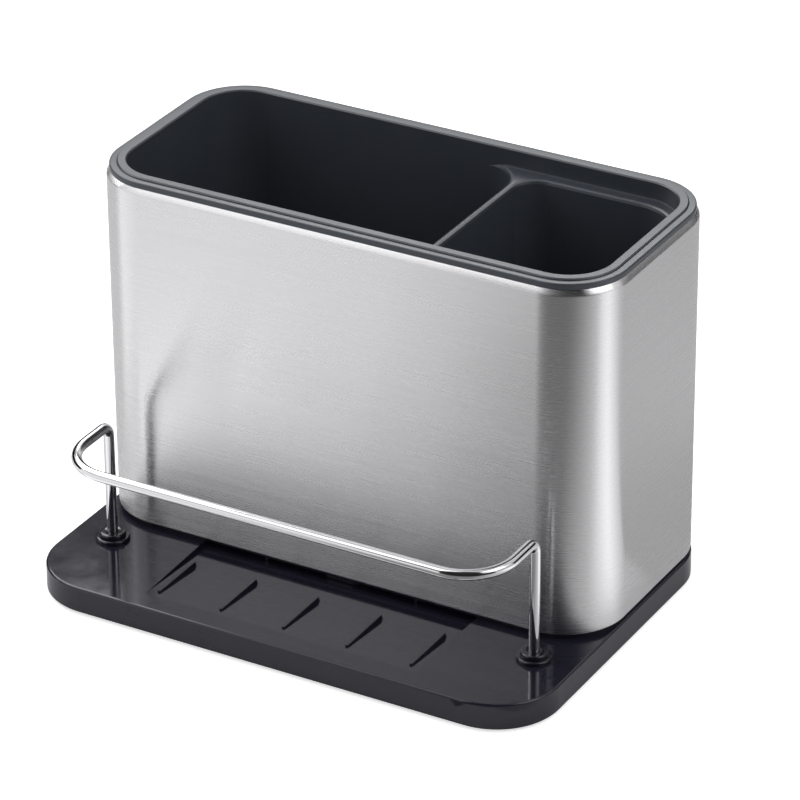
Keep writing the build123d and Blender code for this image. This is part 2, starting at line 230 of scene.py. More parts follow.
@dataclass(frozen=True)
class PolishedWire:
    """Stainless wire, drawn, bent and electropolished.

    It mirrors what stands round it, a little broken by draw marks and a wiping haze.
    """

    name: str = "electropolished_wire"
    colour: str = "E6E6E8"
    roughness: float = 0.07
    haze: float = 0.05
    haze_size: float = 9 * MM
    draw_mark: float = 0.4 * MM
    mark_depth: float = 0.01 * MM
    mark_strength: float = 0.04

    def build(self) -> bpy.types.Material:
        """Make the material.

        Returns:
            The finished material.
        """
        material, tree = new_material(self.name)
        cloud = add_node(
            tree, "ShaderNodeTexNoise", values={"Scale": 1 / self.haze_size, "Detail": 4.0},
            links={"Vector": scaled_place(tree)},
        )
        rough = add_node(
            tree, "ShaderNodeMapRange",
            values={
                "From Min": 0.35, "From Max": 0.75,
                "To Min": self.roughness, "To Max": self.roughness + self.haze,
            },
            links={"Value": cloud.outputs["Fac"]},
        )
        marks = add_node(
            tree, "ShaderNodeTexNoise", values={"Scale": 1 / self.draw_mark, "Detail": 2.0},
            links={"Vector": scaled_place(tree)},
        )
        bump = add_node(
            tree, "ShaderNodeBump", values={"Strength": self.mark_strength, "Distance": self.mark_depth},
            links={"Height": marks.outputs["Fac"]},
        )
        shader = add_node(
            tree, "ShaderNodeBsdfPrincipled",
            values={"Metallic": 1.0, "Base Color": linear(self.colour)},
            links={"Roughness": rough.outputs[0], "Normal": bump.outputs[0]},
        )
        add_node(tree, "ShaderNodeOutputMaterial", links={"Surface": shader.outputs[0]})
        return material


@dataclass(frozen=True)
class MouldedPlastic:
    """Black ABS from an injection mould, with a skin as glossy as the mould and faint wiping marks.

    The body is near black, so its look comes from what the skin mirrors, more or less sharply.
    """

    name: str
    gloss: Gloss
    colour: str = "262532"
    shade: str = "1E1D29"
    wear_size: float = 14 * MM
    # Mould texture is a few hundredths of a millimetre; it is drawn at 0.5 mm so that it shows
    texture_size: float = 0.5 * MM
    texture_depth: float = 0.004 * MM
    texture_strength: float = 0.12
    roughness_swing: float = 0.05
    refraction: float = 1.53

    def build(self) -> bpy.types.Material:
        """Make the material.

        Returns:
            The finished material.
        """
        material, tree = new_material(self.name)
        place = scaled_place(tree)
        cloud = add_node(
            tree, "ShaderNodeTexNoise", values={"Scale": 1 / self.wear_size, "Detail": 5.0, "Roughness": 0.6},
            links={"Vector": place},
        )
        grit = add_node(
            tree, "ShaderNodeTexNoise", values={"Scale": 1 / self.texture_size, "Detail": 2.0},
            links={"Vector": place},
        )
        colour = add_node(
            tree, "ShaderNodeMix", data_type="RGBA",
            values={6: linear(self.shade), 7: linear(self.colour)}, links={0: cloud.outputs["Fac"]},
        )
        rough = add_node(
            tree, "ShaderNodeMapRange",
            values={
                "From Min": 0.3, "From Max": 0.7,
                "To Min": self.gloss.value - self.roughness_swing / 2,
                "To Max": self.gloss.value + self.roughness_swing,
            },
            links={"Value": cloud.outputs["Fac"]},
        )
        bump = add_node(
            tree, "ShaderNodeBump",
            values={"Strength": self.texture_strength, "Distance": self.texture_depth},
            links={"Height": grit.outputs["Fac"]},
        )
        shader = add_node(
            tree, "ShaderNodeBsdfPrincipled",
            values={"IOR": self.refraction},
            links={
                "Base Color": colour.outputs[2], "Roughness": rough.outputs[0], "Normal": bump.outputs[0],
            },
        )
        add_node(tree, "ShaderNodeOutputMaterial", links={"Surface": shader.outputs[0]})
        return material


@dataclass(frozen=True)
class MouldedRubber:
    """Black silicone rubber, pressed in a mould, matt and slightly dusty."""

    name: str = "pressed_silicone_rubber"
    colour: str = "232324"
    dust: str = "3A3A3B"
    dust_size: float = 2.5 * MM
    dust_depth: float = 0.02 * MM
    dust_strength: float = 0.3
    roughness: float = 0.78
    refraction: float = 1.43

    def build(self) -> bpy.types.Material:
        """Make the material.

        Returns:
            The finished material.
        """
        material, tree = new_material(self.name)
        cloud = add_node(
            tree, "ShaderNodeTexNoise", values={"Scale": 1 / self.dust_size, "Detail": 6.0},
            links={"Vector": scaled_place(tree)},
        )
        colour = add_node(
            tree, "ShaderNodeMix", data_type="RGBA",
            values={6: linear(self.colour), 7: linear(self.dust)}, links={0: cloud.outputs["Fac"]},
        )
        bump = add_node(
            tree, "ShaderNodeBump", values={"Strength": self.dust_strength, "Distance": self.dust_depth},
            links={"Height": cloud.outputs["Fac"]},
        )
        shader = add_node(
            tree, "ShaderNodeBsdfPrincipled", values={"Roughness": self.roughness, "IOR": self.refraction},
            links={"Base Color": colour.outputs[2], "Normal": bump.outputs[0]},
        )
        add_node(tree, "ShaderNodeOutputMaterial", links={"Surface": shader.outputs[0]})
        return material


@dataclass(frozen=True)
class SpringSteel:
    """Stamped spring steel, tempered, which leaves a dull grey with the grain of the rolled strip."""

    name: str = "stamped_spring_steel"
    colour: str = "8E8F93"
    dark: str = "6E6F74"
    grain: float = 0.6 * MM
    # The grain is drawn out along the rolling by one over this
    grain_squeeze: float = 0.2
    smoothest: float = 0.3
    roughest: float = 0.5

    def build(self) -> bpy.types.Material:
        """Make the material.

        Returns:
            The finished material.
        """
        material, tree = new_material(self.name)
        cloud = add_node(
            tree, "ShaderNodeTexNoise", values={"Scale": 1 / self.grain, "Detail": 4.0},
            links={"Vector": scaled_place(tree, (self.grain_squeeze, 1.0, 1.0))},
        )
        colour = add_node(
            tree, "ShaderNodeMix", data_type="RGBA",
            values={6: linear(self.dark), 7: linear(self.colour)}, links={0: cloud.outputs["Fac"]},
        )
        rough = add_node(
            tree, "ShaderNodeMapRange", values={"To Min": self.smoothest, "To Max": self.roughest},
            links={"Value": cloud.outputs["Fac"]},
        )
        shader = add_node(
            tree, "ShaderNodeBsdfPrincipled", values={"Metallic": 1.0},
            links={"Base Color": colour.outputs[2], "Roughness": rough.outputs[0]},
        )
        add_node(tree, "ShaderNodeOutputMaterial", links={"Surface": shader.outputs[0]})
        return material


@dataclass(frozen=True)
class Outline:
    """Level rectangle with four corner radii, in the order front left, front right, back right, back left."""

    x0: float
    x1: float
    y0: float
    y1: float
    corners: tuple[float, float, float, float]

    def inset(self, run: float) -> "Outline":
        """Draw the outline in by a run, corners included.

        Args:
            run: Distance inwards, or outwards when negative.

        Returns:
            The new outline.
        """
        corners = tuple(radius - run for radius in self.corners)
        return Outline(self.x0 + run, self.x1 - run, self.y0 + run, self.y1 - run, corners)

    def outward(self, place: Vector) -> Vector:
        """Give the level direction that points out of the outline at one of its corner points.

        Args:
            place: Point on a corner of this outline, or of one drawn in from it.

        Returns:
            Unit vector, level.
        """
        left = place.x < (self.x0 + self.x1) / 2
        front = place.y < (self.y0 + self.y1) / 2
        front_left, front_right, back_right, back_left = self.corners
        if front:
            radius = front_left if left else front_right
        else:
            radius = back_left if left else back_right
        centre_x = self.x0 + radius if left else self.x1 - radius
        centre_y = self.y0 + radius if front else self.y1 - radius
        return Vector((place.x - centre_x, place.y - centre_y, 0)).normalized()

    def add_to(self, bm: bmesh.types.BMesh, z: float, segments: int) -> Rim:
        """Add the outline as a closed loop of edges.

        Args:
            bm: Mesh that gets the loop.
            z: Height of the loop.
            segments: Steps of each corner.

        Returns:
            The edges of the loop.
        """
        middle = Vector(((self.x0 + self.x1) / 2, (self.y0 + self.y1) / 2, z))
        spread = Matrix.Diagonal((self.x1 - self.x0, self.y1 - self.y0, 1, 1))
        made = bmesh.ops.create_grid(
            bm, x_segments=1, y_segments=1, size=0.5, matrix=Matrix.Translation(middle) @ spread
        )
        verts = made["verts"]
        face = verts[0].link_faces[0]
        bmesh.ops.delete(bm, geom=[face], context="FACES_ONLY")
        places = ((self.x0, self.y0), (self.x1, self.y0), (self.x1, self.y1), (self.x0, self.y1))
        loop: Rim = []
        rounded: list[bmesh.types.BMVert] = []
        for (x, y), radius in zip(places, self.corners):
            corner = min(verts, key=lambda v: (v.co.x - x) ** 2 + (v.co.y - y) ** 2)
            verts.remove(corner)
            cut = bmesh.ops.bevel(
                bm, geom=[corner], affect="VERTICES", offset=radius, segments=segments, profile=0.5,
                material=-1,
            )
            rounded.extend(v for v in cut["verts"] if v.is_valid)
        for vert in rounded:
            for edge in vert.link_edges:
                if edge not in loop:
                    loop.append(edge)
        return loop


def draw_on(bm: bmesh.types.BMesh, rim: Rim) -> tuple[list[bmesh.types.BMVert], Rim]:
    """Grow a wall from an open rim, with its new end still in the same place.

    Args:
        bm: Mesh that holds the rim.
        rim: Edges of the open end.

    Returns:
        Points and edges of the new open end.
    """
    grown = bmesh.ops.extrude_edge_only(bm, edges=rim)["geom"]
    verts = [item for item in grown if isinstance(item, bmesh.types.BMVert)]
    edges = [item for item in grown if isinstance(item, bmesh.types.BMEdge)]
    fresh = set(verts)
    return verts, [edge for edge in edges if fresh.issuperset(edge.verts)]


@dataclass
class Band:
    """Wall that carries a closed profile, in run and height, once round an outline."""

    outline: Outline
    profile: list[tuple[float, float]]
    segments: int

    def add_to(self, bm: bmesh.types.BMesh) -> None:
        """Add the wall to a mesh, drawn on ring by ring.

        Args:
            bm: Mesh that gets the wall.
        """
        run, z = self.profile[0]
        rim = self.outline.inset(run).add_to(bm, z, self.segments)
        for next_run, next_z in self.profile[1:] + self.profile[:1]:
            verts, rim = draw_on(bm, rim)
            for vert in verts:
                vert.co += self.outline.outward(vert.co) * (run - next_run)
                vert.co.z = next_z
            run = next_run


def arc_points(
    centre: tuple[float, float], radius: float, start: float, turn: float, steps: int
) -> list[tuple[float, float]]:
    """Points of a round profile edge.

    Args:
        centre: Centre in run and height.
        radius: Radius of the edge.
        start: Angle of the first point, in degrees.
        turn: Angle to the last point, in degrees.
        steps: Number of steps.

    Returns:
        The points in order.
    """
    points = []
    for step in range(steps + 1):
        angle = math.radians(start + turn * step / steps)
        points.append((centre[0] + radius * math.cos(angle), centre[1] + radius * math.sin(angle)))
    return points


def finish_mesh(bm: bmesh.types.BMesh, name: str) -> bpy.types.Object:
    """Close a mesh, turn its faces outwards, mark its sharp edges and make the object.

    Args:
        bm: Mesh in its place.
        name: Name of the piece.

    Returns:
        The new object at the origin.
    """
    bmesh.ops.remove_doubles(bm, verts=bm.verts, dist=WELD)
    bmesh.ops.recalc_face_normals(bm, faces=bm.faces)
    for face in bm.faces:
        face.smooth = True
    for edge in bm.edges:
        edge.smooth = edge.is_manifold and edge.calc_face_angle(0) < SHARP_TURN
    mesh = bpy.data.meshes.new(name)
    bm.to_mesh(mesh)
    bm.free()
    piece = bpy.data.objects.new(name, mesh)
    bpy.context.scene.collection.objects.link(piece)
    return piece


def dress(piece: bpy.types.Object, material: bpy.types.Material) -> None:
    """Give a piece one material.

    Args:
        piece: Object to dress.
        material: Its finish.
    """
    LOG.info("%s is dressed in %s", piece.name, material.name)
    slots = piece.material_slots
    if not slots:
        piece.data.materials.append(material)
        return
    for place in slots:
        place.link = "OBJECT"
        place.material = material


def set_in(piece: bpy.types.Object, body: str, slot: str, *nodes: str) -> None:
    """Seat a piece on its body, in place of CAD nodes.

    Args:
        piece: Finished piece.
        body: Body that it rides on.
        slot: Material slot of the record; not used.
        nodes: Nodes that it stands for.
    """
    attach(piece, body)
    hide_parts(*nodes)
    LOG.info("%s rides on %s with %d faces", piece.name, body, len(piece.data.polygons))


@dataclass
class Finishes:
    """All finishes of the caddy, made once."""

    steel: bpy.types.Material = field(default_factory=lambda: BrushedStainless().build())
    wire: bpy.types.Material = field(default_factory=lambda: PolishedWire().build())
    tray: bpy.types.Material = field(
        default_factory=lambda: MouldedPlastic("moulded_abs_polished", Gloss.POLISHED).build()
    )
    grommet: bpy.types.Material = field(
        default_factory=lambda: MouldedPlastic("moulded_abs_grommet", Gloss.POLISHED, colour="121316").build()
    )
    liner: bpy.types.Material = field(
        default_factory=lambda: MouldedPlastic(
            "moulded_abs_satin", Gloss.SATIN, colour="41464E", shade="3B4048"
        ).build()
    )
    frame: bpy.types.Material = field(
        default_factory=lambda: MouldedPlastic("moulded_abs_frame", Gloss.SEMI_GLOSS).build()
    )
    rubber: bpy.types.Material = field(default_factory=lambda: MouldedRubber().build())
    spring: bpy.types.Material = field(default_factory=lambda: SpringSteel().build())


@dataclass
class Container:
    """Steel sleeve, the collar on its top hem and the frame that it stands on.

    Drops run down from the sleeve's top or the liner's rim, insets inwards from the sleeve's outer face,
    and fold_slope is the angle between the hem's slope and the wall, in degrees.
    """

    finishes: Finishes
    corner: float = 24 * MM
    wall: float = 0.6 * MM
    hem_width: float = 1.8 * MM
    hem_height: float = 6 * MM
    hem_drop: float = 0.3 * MM
    fold: float = 1.5 * MM
    fold_slope: float = 33.0
    foot_fold: float = 0.8 * MM
    lip_gap: float = 0.05 * MM
    lip_drop: float = 0.7 * MM
    lip_edge: float = 0.6 * MM
    lip_inset: float = 1.1 * MM
    lip_wall: float = 1.6 * MM
    seat_drop: float = 1.82 * MM
    seat_thickness: float = 2.0 * MM
    seat_width: float = 1.5 * MM
    inner_fold: float = 0.3 * MM
    corner_steps: int = 32
    fold_steps: int = 4
    slope_steps: int = 3
    inner_steps: int = 2
    foot_steps: int = 5
    lip_steps: int = 6
    lap: float = 7 * MM
    groove: float = 0.5 * MM
    groove_side: float = 0.1 * MM
    groove_depth: float = 0.25 * MM
    groove_margin: float = 0.01 * MM
    # Part of the grain's map that runs outwards, so that level faces have a grain too
    grain_lean: float = 0.2

    def sleeve_outline(self) -> Outline:
        """Outer outline of the sleeve, from the frame."""
        low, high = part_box("steel_sleeve")
        return Outline(low[0], high[0], low[1], high[1], (self.corner,) * 4)

    def hem_profile(self, z0: float, z1: float) -> list[tuple[float, float]]:
        """Section of the sheet with its two folded hems.

        Args:
            z0: Bottom of the sleeve.
            z1: Top of the sleeve.

        Returns:
            Points in run and height, once round.
        """
        fold = self.fold
        foot = self.foot_fold
        inner = self.inner_fold
        width = self.hem_width
        lean = self.fold_slope
        slope = math.radians(lean)
        run = width - inner - inner * math.cos(slope) - fold * (1 - math.cos(slope))
        rise = run / math.tan(slope) + inner * (1 - math.sin(slope)) + fold * math.sin(slope)
        crest = (width - inner, z1 - inner)
        points = arc_points((fold, z1 - rise), fold, 180, -lean, self.fold_steps)
        points += arc_points(crest, inner, 180 - lean, lean - 90, self.slope_steps)
        points += arc_points(crest, inner, 90, -90, self.inner_steps)
        points += [(width, z1 - self.hem_height), (self.wall, z1 - self.hem_height)]
        points += [(self.wall, z0 + self.hem_height), (width, z0 + self.hem_height)]
        points += arc_points((width - inner, z0 + inner), inner, 0, -90, self.inner_steps)
        points += arc_points((foot, z0 + foot), foot, -90, -90, self.foot_steps)
        return points

    def cut_seam(self, bm: bmesh.types.BMesh, back: float) -> None:
        """Press the edge of the lapped sheet into the back wall.

        Args:
            bm: Mesh of the sleeve.
            back: Place of the back face.
        """
        start = self.lap - self.groove
        for x in (start - self.groove_side, start, self.lap, self.lap + self.groove_side):
            faces = [f for f in bm.faces if all(v.co.y > back - self.corner / 2 for v in f.verts)]
            geom = set(faces)
            for face in faces:
                geom.update(face.edges)
                geom.update(face.verts)
            bmesh.ops.bisect_plane(bm, geom=list(geom), plane_co=(x, 0, 0), plane_no=(1, 0, 0))
        floor = back - self.groove_depth
        for vert in bm.verts:
            if start - self.groove_margin < vert.co.x < self.lap + self.groove_margin:
                vert.co.y = min(vert.co.y, floor)

    def map_grain(self, bm: bmesh.types.BMesh, outline: Outline) -> None:
        """Lay a map on the sheet, with its first axis up the wall, across the grain.

        Args:
            bm: Mesh of the sleeve.
            outline: Outer outline.
        """
        layer = bm.loops.layers.uv.new(BrushedStainless.grain_map)
        middle = Vector(((outline.x0 + outline.x1) / 2, (outline.y0 + outline.y1) / 2, 0))
        for face in bm.faces:
            centre = face.calc_center_median() - middle
            heading = math.atan2(centre.x, -centre.y)
            for loop in face.loops:
                place = loop.vert.co - middle
                turn = math.atan2(place.x, -place.y)
                turn += FULL_TURN * round((heading - turn) / FULL_TURN)
                loop[layer].uv = ((place.z + self.grain_lean * place.length) / self.corner, turn)

    def build_sleeve(self) -> None:
        """Fold the steel sleeve."""
        low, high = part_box("steel_sleeve")
        outline = self.sleeve_outline()
        bm = bmesh.new()
        Band(outline, self.hem_profile(low[2], high[2] - self.hem_drop), self.corner_steps).add_to(bm)
        self.cut_seam(bm, high[1])
        self.map_grain(bm, outline)
        piece = finish_mesh(bm, "brushed_sleeve")
        dress(piece, self.finishes.steel)
        set_in(piece, "container", "sleeve_steel", "steel_sleeve")

    def build_collar(self) -> None:
        """Mould the collar: a lip that rests on the hem round the liner's flange, and the flange's seat."""
        outline = self.sleeve_outline()
        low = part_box("top_collar")[0]
        lip_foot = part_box("steel_sleeve")[1][2] - self.hem_drop
        liner_low, liner_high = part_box("inner_liner")
        outer = low[0] - outline.x0
        inner = liner_low[0] - outline.x0 - self.lip_gap
        top = liner_high[2] - self.lip_drop
        seat = liner_high[2] - self.seat_drop
        seat_foot = seat - self.seat_thickness
        seat_inner = inner + self.lip_gap + self.seat_width
        edge = self.lip_edge
        profile = [(outer + self.lip_wall, low[2]), (outer, low[2])]
        profile += [(outer, lip_foot), (self.lip_inset, lip_foot)]
        profile += arc_points((self.lip_inset + edge, top - edge), edge, 180, -90, self.lip_steps)
        profile += [(inner, top), (inner, seat), (seat_inner, seat)]
        profile += [(seat_inner, seat_foot), (outer + self.lip_wall, seat_foot)]
        bm = bmesh.new()
        Band(outline, profile, self.corner_steps).add_to(bm)
        piece = finish_mesh(bm, "moulded_collar")
        dress(piece, self.finishes.liner)
        set_in(piece, "container", "collar_plastic", "top_collar")

    def build(self, nodes: dict[str, bpy.types.Object]) -> None:
        """Build and dress the container.

        Args:
            nodes: CAD nodes by name.
        """
        self.build_sleeve()
        self.build_collar()
        dress(nodes["bottom_frame"], self.finishes.frame)


@dataclass
class WireRail:
    """Bent wire rail with its grommets and push washers.

    The wire's neck goes through the bore of the grommet, whose flange and ring stand on the deck.
    """

    finishes: Finishes
    diameter: float = 4 * MM
    top_bend: float = 4.2 * MM
    corner: float = 18.5 * MM
    neck: float = 3.2 * MM
    neck_height: float = 2.6 * MM
    neck_slope: float = 0.4 * MM
    sides: int = 28
    bend_steps: int = 14
    flange: float = 12.9 * MM
    flange_height: float = 1.5 * MM
    flange_round: float = 0.7 * MM
    flange_foot: float = 0.2 * MM
    # Angle below the level at which the flange's rounded edge starts
    flange_lean: float = 10.0
    ring: float = 10 * MM
    ring_height: float = 3.2 * MM
    ring_round: float = 0.8 * MM
    ring_foot: float = 0.1 * MM
    plug: float = 8 * MM
    bore_gap: float = 0.05 * MM
    bore_round: float = 0.3 * MM
    lathe_steps: int = 48
    round_steps: int = 6
    bore_steps: int = 3

    def push(self, bm: bmesh.types.BMesh, rim: Rim, run: Vector) -> Rim:
        """Draw the wire on in a straight line.

        Args:
            bm: Mesh of the wire.
            rim: Edges of its open end.
            run: Way and length.

        Returns:
            Edges of the new open end.
        """
        verts, end = draw_on(bm, rim)
        bmesh.ops.translate(bm, verts=verts, vec=run)
        return end

    def bend(self, bm: bmesh.types.BMesh, rim: Rim, centre: Vector, axis: Vector) -> Rim:
        """Bend the wire through a quarter turn.

        Args:
            bm: Mesh of the wire.
            rim: Edges of its open end.
            centre: Centre of the bend.
            axis: Axis of the bend.

        Returns:
            Edges of the new open end.
        """
        geom = rim + list({v for e in rim for v in e.verts})
        spun = bmesh.ops.spin(
            bm, geom=geom, cent=centre, axis=axis, angle=QUARTER_TURN, steps=self.bend_steps,
            use_merge=False, use_normal_flip=False, use_duplicate=False,
        )
        return [item for item in spun["geom_last"] if isinstance(item, bmesh.types.BMEdge)]

    def resize(self, bm: bmesh.types.BMesh, rim: Rim, x: float, y: float, factor: float) -> None:
        """Widen or narrow the open end of a post.

        Args:
            bm: Mesh of the wire.
            rim: Edges of its open end.
            x: Place of the post from left to right.
            y: Place of the post from front to back.
            factor: New width over old width.
        """
        verts = list({vert for edge in rim for vert in edge.verts})
        bmesh.ops.scale(bm, verts=verts, vec=(factor, factor, 1), space=Matrix.Translation((-x, -y, 0)))

    def build_wire(self) -> None:
        """Bend the rail from one length of wire, from the foot of the left post to that of the right."""
        low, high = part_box("guard_rail")
        radius = self.diameter / 2
        left = low[0] + radius
        right = high[0] - radius
        front = low[1] + radius
        post = high[1] - radius
        top = high[2] - radius
        bm = bmesh.new()
        foot = Matrix.Translation((left, post, low[2]))
        made = bmesh.ops.create_circle(
            bm, segments=self.sides, radius=self.neck / 2, matrix=foot, cap_ends=True
        )
        rim = list({e for v in made["verts"] for e in v.link_edges})
        rim = self.push(bm, rim, Vector((0, 0, self.neck_height - self.neck_slope)))
        rim = self.push(bm, rim, Vector((0, 0, self.neck_slope)))
        self.resize(bm, rim, left, post, self.diameter / self.neck)
        post_top = top - self.top_bend
        rim = self.push(bm, rim, Vector((0, 0, post_top - low[2] - self.neck_height)))
        rim = self.bend(bm, rim, Vector((left, post - self.top_bend, post_top)), Vector((1, 0, 0)))
        arm = front + self.corner - (post - self.top_bend)
        rim = self.push(bm, rim, Vector((0, arm, 0)))
        rim = self.bend(bm, rim, Vector((left + self.corner, front + self.corner, top)), Vector((0, 0, 1)))
        rim = self.push(bm, rim, Vector((right - left - 2 * self.corner, 0, 0)))
        rim = self.bend(bm, rim, Vector((right - self.corner, front + self.corner, top)), Vector((0, 0, 1)))
        rim = self.push(bm, rim, Vector((0, -arm, 0)))
        rim = self.bend(bm, rim, Vector((right, post - self.top_bend, post_top)), Vector((-1, 0, 0)))
        rim = self.push(bm, rim, Vector((0, 0, -(post_top - low[2] - self.neck_height))))
        rim = self.push(bm, rim, Vector((0, 0, -self.neck_slope)))
        self.resize(bm, rim, right, post, self.neck / self.diameter)
        rim = self.push(bm, rim, Vector((0, 0, -(self.neck_height - self.neck_slope))))
        bmesh.ops.holes_fill(bm, edges=rim)
        piece = finish_mesh(bm, "wire_rail")
        dress(piece, self.finishes.wire)
        set_in(piece, "base", "rail_wire", "guard_rail")

    def build_grommet(self, side: str) -> None:
        """Turn one grommet on a lathe.

        Args:
            side: Which post it stands on, left or right.
        """
        node = f"rail_grommet_{side}"
        low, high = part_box(node)
        x = (low[0] + high[0]) / 2
        y = (low[1] + high[1]) / 2
        deck = high[2] - self.ring_height
        bore = self.diameter / 2 + self.bore_gap
        flange = self.flange / 2
        ring = self.ring / 2
        step = deck + self.flange_height
        crown = (flange - self.flange_round, step - self.flange_round)
        shoulder = (ring - self.ring_round, high[2] - self.ring_round)
        mouth = (bore + self.bore_round, high[2] - self.bore_round)
        points = [(bore, low[2]), (self.plug / 2, low[2]), (self.plug / 2, deck)]
        points.append((flange - self.flange_foot, deck))
        lean = self.flange_lean
        points += arc_points(crown, self.flange_round, -lean, 90 + lean, self.round_steps)
        points.append((ring - self.ring_foot, step))
        points += arc_points(shoulder, self.ring_round, 0, 90, self.round_steps)
        points += arc_points(mouth, self.bore_round, 90, 90, self.bore_steps)
        bm = bmesh.new()
        verts = [bm.verts.new((x + run, y, z)) for run, z in points]
        edges = [bm.edges.new(pair) for pair in zip(verts, verts[1:] + verts[:1])]
        bmesh.ops.spin(
            bm, geom=verts + edges, cent=(x, y, 0), axis=(0, 0, 1), angle=FULL_TURN, steps=self.lathe_steps,
            use_merge=True,
        )
        piece = finish_mesh(bm, f"grommet_{side}")
        dress(piece, self.finishes.grommet)
        set_in(piece, "base", "grommet_plastic", node)

    def build(self, nodes: dict[str, bpy.types.Object]) -> None:
        """Build and dress the rail.

        Args:
            nodes: CAD nodes by name.
        """
        self.build_wire()
        for side in ("left", "right"):
            self.build_grommet(side)
            dress(nodes[f"rail_washer_{side}"], self.finishes.spring)


@dataclass
class DrainTray:
    """Moulded tray with the draining deck, on its rubber feet."""

    finishes: Finishes

    def build(self, nodes: dict[str, bpy.types.Object]) -> None:
        """Dress the tray and its feet.

        Args:
            nodes: CAD nodes by name.
        """
        dress(nodes["base_tray"], self.finishes.tray)
        for name, node in nodes.items():
            if name.startswith("foot_"):
                dress(node, self.finishes.rubber)


@dataclass
class Liner:
    """Lift-out liner with two compartments."""

    finishes: Finishes

    def build(self, nodes: dict[str, bpy.types.Object]) -> None:
        """Dress the liner.

        Args:
            nodes: CAD nodes by name.
        """
        dress(nodes["inner_liner"], self.finishes.liner)


@dataclass(frozen=True)
class Card:
    """Curved card round the object, hidden from the eye and seen in mirrors alone.

    Azimuths are in degrees from the front towards the right. A card stands where its two radii are the
    same, and lies where its two heights are the same. A tone of one is white. The tone runs evenly from
    the start of the card to its end.
    """

    name: str
    start: float
    end: float
    radii: tuple[float, float]
    heights: tuple[float, float]
    tones: tuple[float, float]

    def build(self, step: float) -> None:
        """Set up the card.

        Args:
            step: Width of each flat strip of the curve, in degrees.
        """
        bm = bmesh.new()
        ends = [bm.verts.new((0, -radius, z)) for radius, z in zip(self.radii, self.heights)]
        edge = bm.edges.new(ends)
        turn = Matrix.Rotation(math.radians(self.start), 3, "Z")
        bmesh.ops.rotate(bm, verts=ends, cent=(0, 0, 0), matrix=turn)
        bmesh.ops.spin(
            bm, geom=[*ends, edge], cent=(0, 0, 0), axis=(0, 0, -1),
            angle=math.radians(self.start - self.end), steps=max(1, round((self.end - self.start) / step)),
        )
        tone = bm.faces.layers.float.new("tone")
        first, last = self.tones
        for face in bm.faces:
            middle = face.calc_center_median()
            azimuth = (math.degrees(math.atan2(middle.x, -middle.y)) - self.start) % FULL_CIRCLE
            face[tone] = first + (last - first) * azimuth / (self.end - self.start)
        mesh = bpy.data.meshes.new(self.name)
        bm.to_mesh(mesh)
        bm.free()
        card = bpy.data.objects.new(self.name, mesh)
        bpy.context.scene.collection.objects.link(card)
        material, tree = new_material(self.name)
        shade = add_node(tree, "ShaderNodeAttribute", attribute_name="tone")
        glow = add_node(
            tree, "ShaderNodeEmission", values={"Color": WHITE}, links={"Strength": shade.outputs["Fac"]}
        )
        add_node(tree, "ShaderNodeOutputMaterial", links={"Surface": glow.outputs[0]})
        card.data.materials.append(material)
        card.visible_camera = False
        card.visible_diffuse = False
        card.visible_shadow = False


